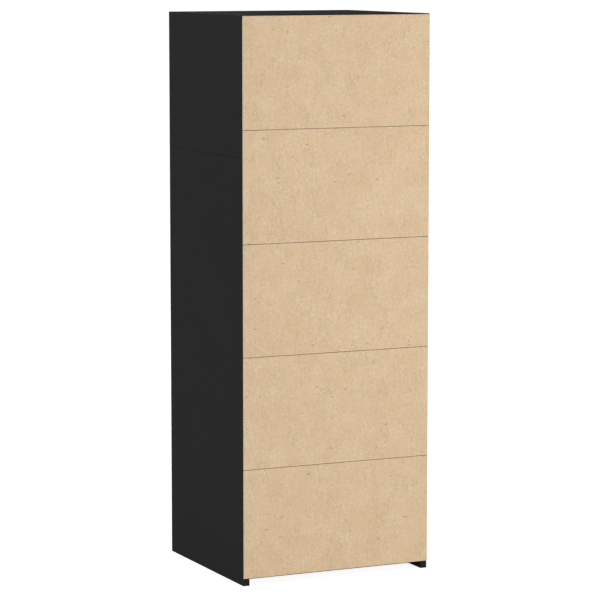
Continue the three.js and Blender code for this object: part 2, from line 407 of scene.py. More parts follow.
@dataclass(frozen=True)
class HardboardFinish:
    """Thin pressed fibreboard, bare or lacquered."""

    name: str
    pale: Colour = (0.697, 0.566, 0.389, 1.0)
    deep: Colour = (0.464, 0.322, 0.182, 1.0)
    pinkish: Colour = (0.618, 0.422, 0.266, 1.0)
    speck: Colour = (0.2, 0.13, 0.075, 1.0)
    roughness: float = 0.78
    specular: float = 0.22
    relief: float = 0.00004
    seed: float = 0.0

    def build(self, effects: Effects) -> bpy.types.Material:
        """Makes the material.

        Args:
            effects: The shared groups.

        Returns:
            The material.
        """
        material, wiring, place = new_material(self.name)
        fibres = effects.fibres.placed(wiring, place, Seed=self.seed)
        strands = wiring.ramp(fibres["Strands"], 0.3, 0.7, 0.0, 0.72)
        drag = wiring.ramp(fibres["Drag"], 0.35, 0.7, 0.0, 0.14)
        clouds = wiring.ramp(fibres["Clouds"], 0.3, 0.7, 0.0, 0.22)
        depth = wiring.math("ADD", wiring.math("ADD", strands, drag), clouds)
        toned = wiring.mix(depth, self.pale, self.deep)
        warm = wiring.mix(wiring.ramp(fibres["Warmth"], 0.32, 0.7, 0.0, 0.6), toned, self.pinkish)
        colour = wiring.mix(wiring.math("MULTIPLY", fibres["Specks"], 0.55), warm, self.speck)
        marks = effects.handling.placed(wiring, place, Seed=self.seed)
        rough = wiring.shifted(marks["Smears"], -0.1, self.roughness)
        surface(
            wiring,
            {
                "Base Color": colour,
                "Roughness": rough,
                "Specular IOR Level": self.specular,
                "Normal": wiring.bump(fibres["Height"], self.relief, 0.8),
            },
        )
        return material


@dataclass(frozen=True)
class EnamelFinish:
    """Epoxy enamel sprayed on pressed steel."""

    name: str
    colour: Colour = (0.76, 0.755, 0.72, 1.0)
    grimy: Colour = (0.6, 0.59, 0.55, 1.0)
    roughness: float = 0.36
    seed: float = 0.0

    def build(self, effects: Effects) -> bpy.types.Material:
        """Makes the material.

        Args:
            effects: The shared groups.

        Returns:
            The material.
        """
        material, wiring, place = new_material(self.name)
        pearl = effects.pearl.placed(wiring, place, Pebbles=520.0, Seed=self.seed)
        marks = effects.handling.placed(wiring, place, Seed=self.seed)
        colour = wiring.mix(wiring.math("MULTIPLY", marks["Smears"], 0.3), self.colour, self.grimy)
        rough = wiring.shifted(marks["Scuffs"], 0.18, self.roughness)
        surface(
            wiring,
            {"Base Color": colour, "Roughness": rough, "Normal": wiring.bump(pearl["Height"], 0.00003, 0.6)},
        )
        return material


@dataclass(frozen=True)
class ZincFinish:
    """Bright zinc plating on screws, cams and plates."""

    name: str
    bright: Colour = (0.62, 0.63, 0.64, 1.0)
    dull: Colour = (0.38, 0.385, 0.39, 1.0)
    roughness: float = 0.34
    seed: float = 0.0

    def build(self, effects: Effects) -> bpy.types.Material:
        """Makes the material.

        Args:
            effects: The shared groups.

        Returns:
            The material.
        """
        material, wiring, place = new_material(self.name)
        spangle = wiring.noise(place, 420.0, self.seed, detail=3.0, roughness=0.6, distortion=0.7)
        marks = effects.handling.placed(wiring, place, Seed=self.seed)
        colour = wiring.mix(wiring.ramp(spangle, 0.35, 0.7), self.bright, self.dull)
        rough = wiring.shifted(spangle, 0.22, self.roughness - 0.1)
        scuffed = wiring.math("ADD", rough, wiring.math("MULTIPLY", marks["Scuffs"], 0.15))
        surface(
            wiring,
            {
                "Base Color": colour,
                "Metallic": 1.0,
                "Roughness": scuffed,
                "Normal": wiring.bump(spangle, 0.00002, 0.5),
            },
        )
        return material


@dataclass(frozen=True)
class NylonFinish:
    """Moulded nylon, as in the rollers."""

    name: str
    colour: Colour = (0.7, 0.69, 0.64, 1.0)
    greyed: Colour = (0.42, 0.41, 0.39, 1.0)
    roughness: float = 0.45
    seed: float = 0.0

    def build(self, effects: Effects) -> bpy.types.Material:
        """Makes the material.

        Args:
            effects: The shared groups.

        Returns:
            The material.
        """
        material, wiring, place = new_material(self.name)
        pearl = effects.pearl.placed(wiring, place, Pebbles=900.0, Seed=self.seed)
        marks = effects.handling.placed(wiring, place, Seed=self.seed)
        tracked = wiring.math("MULTIPLY", wiring.math("ADD", marks["Smears"], marks["Scuffs"]), 0.3)
        surface(
            wiring,
            {
                "Base Color": wiring.mix(tracked, self.colour, self.greyed),
                "Roughness": wiring.ramp(pearl["Tone"], 0.0, 1.0, self.roughness, self.roughness + 0.1),
                "Subsurface Weight": 0.08,
                "Subsurface Scale": 0.001,
                "Normal": wiring.bump(pearl["Height"], 0.00002, 0.4),
            },
        )
        return material


def new_material(name: str) -> tuple[bpy.types.Material, Wiring, bpy.types.NodeSocket]:
    """Makes an empty material.

    Args:
        name: The material's name.

    Returns:
        The material, its wiring, and the position on the object.
    """
    material = bpy.data.materials.new(name)
    material.use_nodes = True
    wiring = Wiring(material.node_tree)
    return material, wiring, wiring.node("ShaderNodeTexCoord").outputs["Object"]


def surface(wiring: Wiring, inputs: dict) -> None:
    """Ends a material in one Principled BSDF with the given inputs."""
    shader = wiring.node("ShaderNodeBsdfPrincipled", inputs)
    wiring.node("ShaderNodeOutputMaterial", {"Surface": shader.outputs[0]})


class Palette:
    """Every finish on the chest, built once."""

    def __init__(self, effects: Effects) -> None:
        """Builds the materials.

        Args:
            effects: The shared groups.
        """
        self.effects = effects
        self.melamine = MelamineFinish("black_melamine").build(effects)
        self.edging = MelamineFinish(
            "black_edging",
            colour=(0.0105, 0.0104, 0.0103, 1.0),
            worn=(0.0138, 0.0137, 0.0135, 1.0),
            dusty=(0.02, 0.0195, 0.019, 1.0),
            roughness=0.55,
            specular=0.06,
            pebbles=1100.0,
            relief=0.00003,
            seed=3.0,
        ).build(effects)
        self.lacquered = HardboardFinish(
            "lacquered_hardboard",
            pale=(0.028, 0.0275, 0.027, 1.0),
            deep=(0.018, 0.0175, 0.017, 1.0),
            pinkish=(0.023, 0.0225, 0.022, 1.0),
            speck=(0.012, 0.0115, 0.011, 1.0),
            roughness=0.5,
            relief=0.00002,
            seed=20.0,
        ).build(effects)
        self.raw_underside = HardboardFinish("raw_underside", seed=31.0).build(effects)
        # Sheet ends in near white: a painted highlight for light caught on the thin end edges.
        self.sawn_ends = HardboardFinish(
            "sawn_hardboard_ends",
            pale=(0.95, 0.9, 0.82, 1.0),
            deep=(0.8, 0.73, 0.63, 1.0),
            pinkish=(0.88, 0.78, 0.68, 1.0),
            speck=(0.5, 0.42, 0.34, 1.0),
            seed=41.0,
        ).build(effects)
        # Long edges darkened to grey-brown: painted shade for the gaps between sheets.
        self.smudged_edges = HardboardFinish(
            "smudged_hardboard_edges",
            pale=(0.36, 0.33, 0.3, 1.0),
            deep=(0.24, 0.215, 0.19, 1.0),
            pinkish=(0.3, 0.265, 0.235, 1.0),
            speck=(0.12, 0.11, 0.1, 1.0),
            seed=47.0,
        ).build(effects)
        self.enamel = EnamelFinish("white_enamel").build(effects)
        self.zinc = ZincFinish("zinc_plate").build(effects)
        self.nylon = NylonFinish("roller_nylon").build(effects)

    @property
    def board(self) -> tuple[bpy.types.Material, bpy.types.Material]:
        """A board's face and its edging tape."""
        return self.melamine, self.edging

    @property
    def sheet_edges(self) -> tuple[bpy.types.Material, bpy.types.Material]:
        """A hardboard sheet's sawn ends, paled as a painted highlight, and its long edges, darkened as
        painted shade for the seams.
        """
        return self.sawn_ends, self.smudged_edges

    def hardboard(self, sheet: int) -> bpy.types.Material:
        """The bare hardboard of one sheet of the back, with a pattern of its own."""
        return HardboardFinish(f"raw_hardboard_{sheet}", seed=2.7 * sheet).build(self.effects)


# ---------------------------------------------------------------- bench work


def deselect_everything() -> None:
    """Leaves nothing selected, in object mode."""
    if bpy.context.object and bpy.context.object.mode != "OBJECT":
        bpy.ops.object.mode_set(mode="OBJECT")
    bpy.ops.object.select_all(action="DESELECT")


def only(piece: bpy.types.Object) -> None:
    """Makes a piece the only selected one, and the active one."""
    deselect_everything()
    piece.select_set(True)
    bpy.context.view_layer.objects.active = piece


def fix_place(piece: bpy.types.Object) -> None:
    """Moves a piece's place, turn and scale into its mesh."""
    only(piece)
    bpy.ops.object.transform_apply(location=True, rotation=True, scale=True)


def block(name: str, low: Sequence[float], high: Sequence[float]) -> bpy.types.Object:
    """Adds a square-edged block, as a start.

    Args:
        name: The piece's name.
        low: Its lowest corner.
        high: Its highest corner.

    Returns:
        The block.
    """
    deselect_everything()
    low, high = Vector(low), Vector(high)
    bpy.ops.mesh.primitive_cube_add(size=1.0, location=(low + high) / 2)
    piece = bpy.context.object
    piece.name = piece.data.name = name
    piece.scale = high - low
    fix_place(piece)
    return piece


def rod(
    name: str, start: Vector, facing: Facing, radius: float, length: float, sides: int
) -> bpy.types.Object:
    """Adds a round bar, as a start.

    Args:
        name: The piece's name.
        start: The middle of its near end.
        facing: The way that it runs.
        radius: Its radius.
        length: Its length.
        sides: Segments round it.

    Returns:
        The bar.
    """
    deselect_everything()
    bpy.ops.mesh.primitive_cylinder_add(vertices=sides, radius=radius, depth=length)
    piece = bpy.context.object
    piece.name = piece.data.name = name
    piece.rotation_euler = Vector((0.0, 0.0, 1.0)).rotation_difference(facing.vector).to_euler()
    piece.location = start + facing.vector * (length / 2)
    fix_place(piece)
    return piece


@contextmanager
def editing(piece: bpy.types.Object, pick: Pick) -> Iterator[Callable[[Callable[..., bool]], None]]:
    """Opens a piece in edit mode with nothing selected.

    Args:
        piece: The piece.
        pick: Whether faces or edges are selected.

    Yields:
        A function that selects each face or edge that a test accepts.
    """
    only(piece)
    bpy.ops.object.mode_set(mode="EDIT")
    bpy.ops.mesh.select_mode(type=pick.value)
    bpy.ops.mesh.select_all(action="DESELECT")

    def select(wanted: Callable[..., bool]) -> None:
        """Selects what the test accepts."""
        mesh = bmesh.from_edit_mesh(piece.data)
        for element in mesh.faces if pick is Pick.FACE else mesh.edges:
            element.select_set(wanted(element))
        bmesh.update_edit_mesh(piece.data)

    yield select
    bpy.ops.object.mode_set(mode="OBJECT")


def apply_modifier(piece: bpy.types.Object, kind: str, **settings: object) -> None:
    """Adds a modifier with these settings and applies it."""
    only(piece)
    modifier = piece.modifiers.new(kind.lower(), kind)
    for name, value in settings.items():
        setattr(modifier, name, value)
    bpy.ops.object.modifier_apply(modifier=modifier.name)


def carve(piece: bpy.types.Object, cutter: bpy.types.Object) -> None:
    """Cuts one piece out of another and removes the cutter."""
    apply_modifier(piece, "BOOLEAN", object=cutter, operation="DIFFERENCE", solver="EXACT")
    bpy.data.objects.remove(cutter)


def ease(piece: bpy.types.Object, width: float, segments: int = 2) -> None:
    """Rounds a piece's sharp edges over by a small width."""
    settings = {"limit_method": "ANGLE", "angle_limit": SHARP, "use_clamp_overlap": True}
    apply_modifier(piece, "BEVEL", width=width, segments=segments, **settings)


def smooth(piece: bpy.types.Object) -> None:
    """Shades a turned or folded piece smoothly over its gentle edges."""
    only(piece)
    bpy.ops.object.shade_smooth_by_angle(angle=SHARP)


def runs_along(edge: bmesh.types.BMEdge, axis: int) -> bool:
    """Whether an edge runs along X, Y or Z, which are axis 0, 1 and 2."""
    return abs((edge.verts[0].co - edge.verts[1].co).normalized()[axis]) > ALONG


def round_corners_along_x(piece: bpy.types.Object, radius: float, segments: int) -> None:
    """Rounds the corners of a plate or a cutter whose edges run along X."""
    with editing(piece, Pick.EDGE) as select:
        select(lambda edge: runs_along(edge, 0))
        bpy.ops.mesh.bevel(offset=radius, segments=segments)


def outward_faces(piece: bpy.types.Object) -> None:
    """Merges doubles and points every face outwards."""
    with editing(piece, Pick.FACE):
        bpy.ops.mesh.select_all(action="SELECT")
        bpy.ops.mesh.remove_doubles(threshold=0.000001)
        bpy.ops.mesh.normals_make_consistent(inside=False)


def copied(
    piece: bpy.types.Object, name: str, shift: Sequence[float] = (0, 0, 0), mirrored: bool = False
) -> bpy.types.Object:
    """Copies a piece with a mesh of its own.

    Args:
        piece: What is copied.
        name: The copy's name.
        shift: How far it moves.
        mirrored: Whether it is first mirrored from the right of the chest to the left.

    Returns:
        The copy.
    """
    made = piece.copy()
    made.data = piece.data.copy()
    made.name = made.data.name = name
    bpy.context.scene.collection.objects.link(made)
    made.location = shift
    if mirrored:
        made.scale.x = -1
    fix_place(made)
    if mirrored:
        outward_faces(made)
    return made


def joined(name: str, parts: Sequence[bpy.types.Object]) -> bpy.types.Object:
    """Joins several pieces into one object with a new name."""
    only(parts[0])
    for part in parts[1:]:
        part.select_set(True)
    bpy.ops.object.join()
    made = bpy.context.object
    made.name = made.data.name = name
    return made


def dress(piece: bpy.types.Object, *materials: bpy.types.Material) -> None:
    """Gives a piece its materials, in the order that its faces number them."""
    for _ in range(len(piece.data.materials), len(materials)):
        piece.data.materials.append(None)
    for number, material in enumerate(materials):
        piece.data.materials[number] = material


def seat(piece: bpy.types.Object, body: str, slot: Slot | None, *nodes: str) -> None:
    """Fixes a finished piece to a moving body and reports it.

    Args:
        piece: The piece.
        body: The body that it moves with.
        slot: Not used; callers pass the record's slot for the piece's finish, if it has one.
        *nodes: The CAD nodes that it stands for.
    """
    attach(piece, body)
    if nodes:
        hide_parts(*nodes)
    LOG.info("%s on %s: %d faces", piece.name, body, len(piece.data.polygons))


# ---------------------------------------------------------------- boards


@dataclass(frozen=True)
class BoardStock:
    """Melamine board with edging tape on its edges.

    Attributes:
        tape: How much of the tape's edge shows round each face.
        ease: How far the taped edges are rounded over.
    """

    tape: float = 0.4 * MM
    ease: float = 0.5 * MM

    def tape_edges(self, piece: bpy.types.Object) -> None:
        """Marks the tape on all edges of a board and rounds them over. Faces numbered 1 are tape.

        Args:
            piece: A board with square edges.
        """
        across = min(range(3), key=lambda axis: piece.dimensions[axis])
        with editing(piece, Pick.FACE) as select:
            select(lambda face: abs(face.normal[across]) > ALONG)
            bpy.ops.mesh.inset(thickness=self.tape, use_even_offset=True)
            for face in bmesh.from_edit_mesh(piece.data).faces:
                face.material_index = 0 if face.select else 1
        ease(piece, self.ease)

    def board(self, node: str) -> bpy.types.Object:
        """A plain board the size of a CAD node, with taped edges."""
        piece = block(f"{node}_board", *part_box(node))
        self.tape_edges(piece)
        return piece


@dataclass(frozen=True)
class HardboardSheet:
    """A thin sheet that is lacquered on one face."""

    ease: float = 0.25 * MM

    def sheet(self, node: str, lacquered: Vector) -> bpy.types.Object:
        """Builds a sheet the size of a CAD node.

        Faces numbered 1 are lacquered, 2 are its sawn ends, paled as a painted highlight, and 3 are its long
        edges, darkened as painted shade for the seams between sheets. All others are bare.

        Args:
            node: The CAD node.
            lacquered: The way that its lacquered face looks.

        Returns:
            The sheet.
        """
        piece = block(f"{node}_sheet", *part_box(node))
        ease(piece, self.ease, segments=1)
        for face in piece.data.polygons:
            across = abs(face.normal.dot(lacquered))
            if across > ALONG:
                face.material_index = 1 if face.normal.dot(lacquered) > 0 else 0
            elif across < 1 - ALONG:
                face.material_index = 2 if abs(face.normal.x) > ALONG else 3
        return piece


# ---------------------------------------------------------------- fittings


@dataclass
class Fittings:
    """The small zinc hardware, each kind modelled once and copied.

    Attributes:
        head_radius: Pan head screw.
        head_height: How far a screw head stands up.
        cam_radius: Cam that draws two boards together.
        cam_height: How far a cam stands up.
        recess: Width of a driver's slot.
    """

    head_radius: float = 3.6 * MM
    head_height: float = 1.5 * MM
    cam_radius: float = 7.5 * MM
    cam_height: float = 0.5 * MM
    recess: float = 1.0 * MM
    kept: dict[str, bpy.types.Object] = field(default_factory=dict)

    def _cross(self, piece: bpy.types.Object, reach: float, top: float, depth: float) -> None:
        """Sinks a cross for a driver into a face that looks along +X.

        Args:
            piece: The screw head or cam.
            reach: Half the length of each slot.
            top: The height of the face.
            depth: How deep the slots go.
        """
        for wide, tall in ((reach, self.recess / 2), (self.recess / 2, reach)):
            carve(piece, block("slot", (top - depth, -wide, -tall), (top + depth, wide, tall)))

    def screw_head(self) -> bpy.types.Object:
        """A domed pan head that stands on the plane X = 0 and looks along +X."""
        if "head" not in self.kept:
            head = rod("screw_head", Vector(), Facing.RIGHT, self.head_radius, self.head_height, 16)
            with editing(head, Pick.FACE) as select:
                select(lambda face: face.normal.x > ALONG)
                bpy.ops.mesh.inset(thickness=self.head_radius * 0.3)
            top, rim = self.head_height * 0.9, self.head_radius * 0.95
            with editing(head, Pick.EDGE) as select:
                select(lambda edge: all(v.co.x > top and v.co.length > rim for v in edge.verts))
                bpy.ops.mesh.bevel(offset=self.head_height * 0.6, segments=3)
            self._cross(head, self.head_radius * 0.55, self.head_height, self.head_height * 0.6)
            smooth(head)
            self.kept["head"] = head
        return self.kept["head"]

    def cam(self) -> bpy.types.Object:
        """A cam with its driver's cross, standing a little out of the plane X = 0."""
        if "cam" not in self.kept:
            start = Vector((-self.cam_height, 0, 0))
            cam = rod("cam", start, Facing.RIGHT, self.cam_radius, 2 * self.cam_height, 28)
            with editing(cam, Pick.FACE) as select:
                select(lambda face: face.normal.x > ALONG)
                bpy.ops.mesh.inset(thickness=self.cam_radius * 0.16)
                bpy.ops.mesh.inset(thickness=self.cam_radius * 0.05, depth=-self.cam_height * 0.5)
            self._cross(cam, self.cam_radius * 0.6, self.cam_height / 2, self.cam_height * 0.9)
            smooth(cam)
            self.kept["cam"] = cam
        return self.kept["cam"]

    @staticmethod
    def spread(
        name: str, pattern: bpy.types.Object, places: Sequence[Sequence[float]], facing: Facing
    ) -> bpy.types.Object:
        """Copies a fitting to several places and joins the copies.

        Args:
            name: The new piece's name.
            pattern: The fitting, which looks along +X.
            places: Where each copy goes.
            facing: The way that they look.

        Returns:
            The joined copies.
        """
        copies = []
        for place in places:
            made = copied(pattern, name)
            made.rotation_euler = Vector((1.0, 0.0, 0.0)).rotation_difference(facing.vector).to_euler()
            made.location = place
            fix_place(made)
            copies.append(made)
        return joined(name, copies)

    def put_away(self) -> None:
        """Removes the patterns once every copy is made."""
        for pattern in self.kept.values():
            bpy.data.objects.remove(pattern)
        self.kept.clear()


# ---------------------------------------------------------------- carcass


@dataclass
class Carcass:
    """The fixed box: sides, top, bottom, back rails, hardboard back, and the plates over the sides' joint.

    Attributes:
        plate_reach: Front of the sides to the middle of each splice plate.
        plate_screws: Heights of a plate's screws above the joint, as shares of its length.
        cam_inset: End of a board to its first cam.
        cam_from_edge: Front or back edge of a panel to its cams.
        back_panels: How many sheets the back has.
    """

    palette: Palette
    fittings: Fittings
    stock: BoardStock = field(default_factory=BoardStock)
    hardboard: HardboardSheet = field(default_factory=HardboardSheet)
    body: str = "carcass"
    plate_length: float = 90 * MM
    plate_width: float = 32 * MM
    plate_thickness: float = 1.5 * MM
    plate_reach: tuple[float, float] = (55 * MM, 210 * MM)
    plate_corner: float = 5 * MM
    plate_ease: float = 0.25 * MM
    plate_screws: tuple[float, ...] = (-0.36, -0.14, 0.14, 0.36)
    cam_inset: float = 34 * MM
    cam_from_edge: float = 60 * MM
    back_panels: int = 5

    def build(self) -> None:
        """Builds the carcass from its boards out to its fittings."""
        for side in Side:
            for length in ("lower", "upper"):
                self._board(f"side_{side.value}_{length}")
            self._splice_plates(side)
        self._board("top_panel")
        self._board("bottom_panel")
        self._panel_cams()
        for number in range(1, self.back_panels):
            self._board(f"back_rail_{number}")
            self._rail_cams(f"back_rail_{number}")
        for number in range(1, self.back_panels + 1):
            self._back_panel(number)

    def _board(self, node: str) -> None:
        """Builds one board of the carcass."""
        piece = self.stock.board(node)
        dress(piece, *self.palette.board)
        seat(piece, self.body, Slot.MELAMINE, node)

    def _back_panel(self, number: int) -> None:
        """Builds one sheet of the back, bare outside and lacquered inside."""
        node = f"back_panel_{number}"
        piece = self.hardboard.sheet(node, Facing.FRONT.vector)
        dress(piece, self.palette.hardboard(number), self.palette.lacquered, *self.palette.sheet_edges)
        seat(piece, self.body, Slot.HARDBOARD, node)

    def _splice_plates(self, side: Side) -> None:
        """Builds the two steel plates that hold one side's boards together, with their screws."""
        low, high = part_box(f"side_{side.value}_lower")
        face = low.x if side is Side.RIGHT else high.x
        inner = face - side.sign * self.plate_thickness
        for number, reach in enumerate(self.plate_reach, start=1):
            middle = low.y + reach
            name = f"splice_plate_{side.value}_{number}"
            plate = block(
                name,
                (min(face, inner), middle - self.plate_width / 2, high.z - self.plate_length / 2),
                (max(face, inner), middle + self.plate_width / 2, high.z + self.plate_length / 2),
            )
            round_corners_along_x(plate, self.plate_corner, segments=5)
            ease(plate, self.plate_ease, segments=1)
            dress(plate, self.palette.zinc)
            seat(plate, self.body, None)
            screws = self.fittings.spread(
                f"{name}_screws",
                self.fittings.screw_head(),
                [(inner, middle, high.z + share * self.plate_length) for share in self.plate_screws],
                side.inward,
            )
            dress(screws, self.palette.zinc)
            seat(screws, self.body, None)

    def _panel_cams(self) -> None:
        """Sets the cams that hold the top and the bottom panel between the sides."""
        for node in ("top_panel", "bottom_panel"):
            low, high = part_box(node)
            places = [
                (x, y, low.z)
                for x in (low.x + self.cam_inset, high.x - self.cam_inset)
                for y in (low.y + self.cam_from_edge, high.y - self.cam_from_edge)
            ]
            self._cams(f"{node}_cams", places, Facing.DOWN)

    def _rail_cams(self, node: str) -> None:
        """Sets a cam at each end of a back rail, on its inner face."""
        low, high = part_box(node)
        middle = (low.z + high.z) / 2
        places = [(x, low.y, middle) for x in (low.x + self.cam_inset, high.x - self.cam_inset)]
        self._cams(f"{node}_cams", places, Facing.FRONT)

    def _cams(self, name: str, places: Sequence[Sequence[float]], facing: Facing) -> None:
        """Sets cams in the carcass."""
        cams = self.fittings.spread(name, self.fittings.cam(), places, facing)
        dress(cams, self.palette.zinc)
        seat(cams, self.body, None)


# ---------------------------------------------------------------- slides


@dataclass
class SlidePair:
    """The folded steel profiles of one drawer's right-hand slide, and the rollers on them.

    Attributes:
        steel: Thickness of the sheet.
        fold: Inner radius of its folds.
        web_gap: Hairline between a profile and the board that it is screwed to.
        roller_radius: Radius of both rollers.
        roller_inset: End of a profile to its roller's axle.
        roller_play: Sideways play on each side of a roller.
        rail_clearance: The rail's web to the runner, sideways.
        rail_roller_rise: Hairline under the rail's roller.
        axle_head: How far an axle's head stands past its roller.
        axle_sink: How far an axle stops short of the outside of its steel.
        screw_inset: End of a profile to its first screw.
    """

    palette: Palette
    fittings: Fittings
    steel: float = 1.2 * MM
    fold: float = 1.1 * MM
    web_gap: float = 0.3 * MM
    roller_radius: float = 7.5 * MM
    roller_inset: float = 12 * MM
    roller_play: float = 2 * MM
    rail_height: float = 16 * MM
    rail_clearance: float = 1 * MM
    rail_roller_rise: float = 0.3 * MM
    runner_rise: float = 1 * MM
    axle_radius: float = 2.2 * MM
    axle_head: float = 0.4 * MM
    axle_sink: float = 0.2 * MM
    screw_inset: float = 40 * MM
    runner_screws: int = 3
    rail_screws: int = 2
    slot_length: float = 14 * MM
    slot_width: float = 4 * MM

    def _profile(
        self, name: str, web: float, low: Vector, high: Vector, top_reach: float, bottom_reach: float
    ) -> bpy.types.Object:
        """Folds a profile from a flat strip.

        Args:
            name: The piece's name.
            web: X of the middle of its upright web.
            low: The profile's lowest corner.
            high: The profile's highest corner.
            top_reach: How far its top flange runs from the web, along X.
            bottom_reach: How far its bottom flange runs from the web, along X.

        Returns:
            The folded profile.
        """
        half = self.steel / 2
        deselect_everything()
        bpy.ops.mesh.primitive_plane_add(size=1.0)
        piece = bpy.context.object
        piece.name = piece.data.name = name
        piece.rotation_euler = (0.0, QUARTER_TURN, 0.0)
        piece.scale = (high.z - low.z - self.steel, high.y - low.y, 1.0)
        piece.location = (web, (low.y + high.y) / 2, (low.z + high.z) / 2)
        fix_place(piece)

        def on_fold(edge: bmesh.types.BMEdge, height: float) -> bool:
            """Whether an edge lies in the web's plane at a height."""
            return all(abs(v.co.z - height) < TOUCHING and abs(v.co.x - web) < TOUCHING for v in edge.verts)

        for edge_z, reach in ((high.z - half, top_reach), (low.z + half, bottom_reach)):
            with editing(piece, Pick.EDGE) as select:
                select(lambda edge, height=edge_z: on_fold(edge, height))
                bpy.ops.mesh.extrude_region_move(TRANSFORM_OT_translate={"value": (reach, 0.0, 0.0)})
        with editing(piece, Pick.EDGE) as select:
            select(lambda edge: len(edge.link_faces) == 2)
            bpy.ops.mesh.bevel(offset=self.fold + half, segments=4)
        outward_faces(piece)
        apply_modifier(piece, "SOLIDIFY", thickness=self.steel, offset=0.0, use_even_offset=True)
        return piece

    def _slots(self, piece: bpy.types.Object, web: float, low: Vector, high: Vector, count: int) -> None:
        """Punches elongated holes through a web, between its screws."""
        pitch = (high.y - low.y - 2 * self.screw_inset) / (count + 1)
        middle = (low.z + high.z) / 2
        for number in range(count):
            along = low.y + self.screw_inset + (number + 0.5 + 0.5 * (number + 1) / count) * pitch
            half = Vector((self.steel * 2, self.slot_length / 2, self.slot_width / 2))
            centre = Vector((web, along, middle))
            cutter = block("slot", centre - half, centre + half)
            round_corners_along_x(cutter, self.slot_width * 0.49, segments=4)
            carve(piece, cutter)

    def _roller(self, name: str, start: float, end: float, y: float, z: float) -> bpy.types.Object:
        """Turns a roller with rounded rims, dished ends and a hub.

        Args:
            name: The piece's name.
            start: X of one end.
            end: X of the other.
            y: Its axle's place along the slide.
            z: Its axle's height.

        Returns:
            The roller.
        """
        roller = rod(name, Vector((start, y, z)), Facing.RIGHT, self.roller_radius, end - start, 32)
        with editing(roller, Pick.FACE) as select:
            select(lambda face: abs(face.normal.x) > ALONG)
            bpy.ops.mesh.inset(thickness=self.roller_radius * 0.22)
            bpy.ops.mesh.inset(thickness=self.roller_radius * 0.06, depth=-0.6 * MM)
            bpy.ops.mesh.inset(thickness=self.roller_radius * 0.3)
            bpy.ops.mesh.inset(thickness=self.roller_radius * 0.05, depth=0.4 * MM)
        ease(roller, 0.35 * MM, segments=2)
        smooth(roller)
        return roller

    def _axle(self, name: str, start: float, end: float, y: float, z: float) -> bpy.types.Object:
        """Turns the rivet that a roller runs on, with a domed head past the roller."""
        axle = rod(name, Vector((start, y, z)), Facing.RIGHT, self.axle_radius, end - start, 20)
        ease(axle, 0.5 * MM, segments=3)
        smooth(axle)
        return axle

    def _row(self, low: Vector, high: Vector, count: int) -> list[float]:
        """Evenly spaced places along a profile, between its screw insets."""
        pitch = (high.y - low.y - 2 * self.screw_inset) / (count - 1)
        return [low.y + self.screw_inset + number * pitch for number in range(count)]

    def runner(self, number: int) -> dict[str, bpy.types.Object]:
        """Builds the runner on the right of the carcass.

        Args:
            number: The drawer's number.

        Returns:
            Its parts by name, undressed.
        """
        node = f"runner_{number}_right"
        low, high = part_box(node)
        web = high.x - self.steel / 2
        reach = low.x - web
        channel = self._profile(f"{node}_channel", web, low, high, reach, reach)
        self._slots(channel, web, low, high, self.runner_screws - 1)
        smooth(channel)
        inner = high.x - self.steel
        rail_web = low.x - self.rail_clearance
        y = low.y + self.roller_inset
        z = low.z + self.steel + self.runner_rise + self.roller_radius
        start = rail_web + self.roller_play
        roller = self._roller(f"{node}_roller", start, inner, y, z)
        axle = self._axle(f"{node}_axle", start - self.axle_head, high.x - self.axle_sink, y, z)
        middle = (low.z + high.z) / 2
        places = [(inner, along, middle) for along in self._row(low, high, self.runner_screws)]
        screws = self.fittings.spread(f"{node}_screws", self.fittings.screw_head(), places, Facing.LEFT)
        return {"channel": channel, "roller": roller, "axle": axle, "screws": screws}

    def rail(self, number: int) -> dict[str, bpy.types.Object]:
        """Builds the rail on the right of the drawer.

        Args:
            number: The drawer's number.

        Returns:
            Its parts by name, undressed.
        """
        node = f"drawer_{number}_rail_right"
        low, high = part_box(node)
        low = Vector((low.x, low.y, high.z - self.rail_height))
        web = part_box(f"drawer_{number}_side_right")[1].x + self.web_gap + self.steel / 2
        outer = web + self.steel / 2
        profile = self._profile(f"{node}_profile", web, low, high, high.x - web, low.x - web)
        self._slots(profile, web, low, high, 1)
        smooth(profile)
        runner_low, runner_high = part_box(f"runner_{number}_right")
        y = high.y - self.roller_inset
        z = runner_low.z + self.steel + self.rail_roller_rise + self.roller_radius
        end = runner_high.x - self.steel - self.roller_play - self.web_gap
        roller = self._roller(f"{node}_roller", outer, end, y, z)
        axle = self._axle(f"{node}_axle", outer - self.steel, end + self.axle_head, y, z)
        middle = (low.z + high.z) / 2
        places = [(outer, along, middle) for along in self._row(low, high, self.rail_screws)]
        screws = self.fittings.spread(f"{node}_screws", self.fittings.screw_head(), places, Facing.RIGHT)
        return {"profile": profile, "roller": roller, "axle": axle, "screws": screws}

    def dress_part(self, part: str, piece: bpy.types.Object) -> None:
        """Gives one part of a slide its finish."""
        finish = {"roller": self.palette.nylon, "axle": self.palette.zinc, "screws": self.palette.zinc}
        dress(piece, finish.get(part, self.palette.enamel))


# ---------------------------------------------------------------- drawers


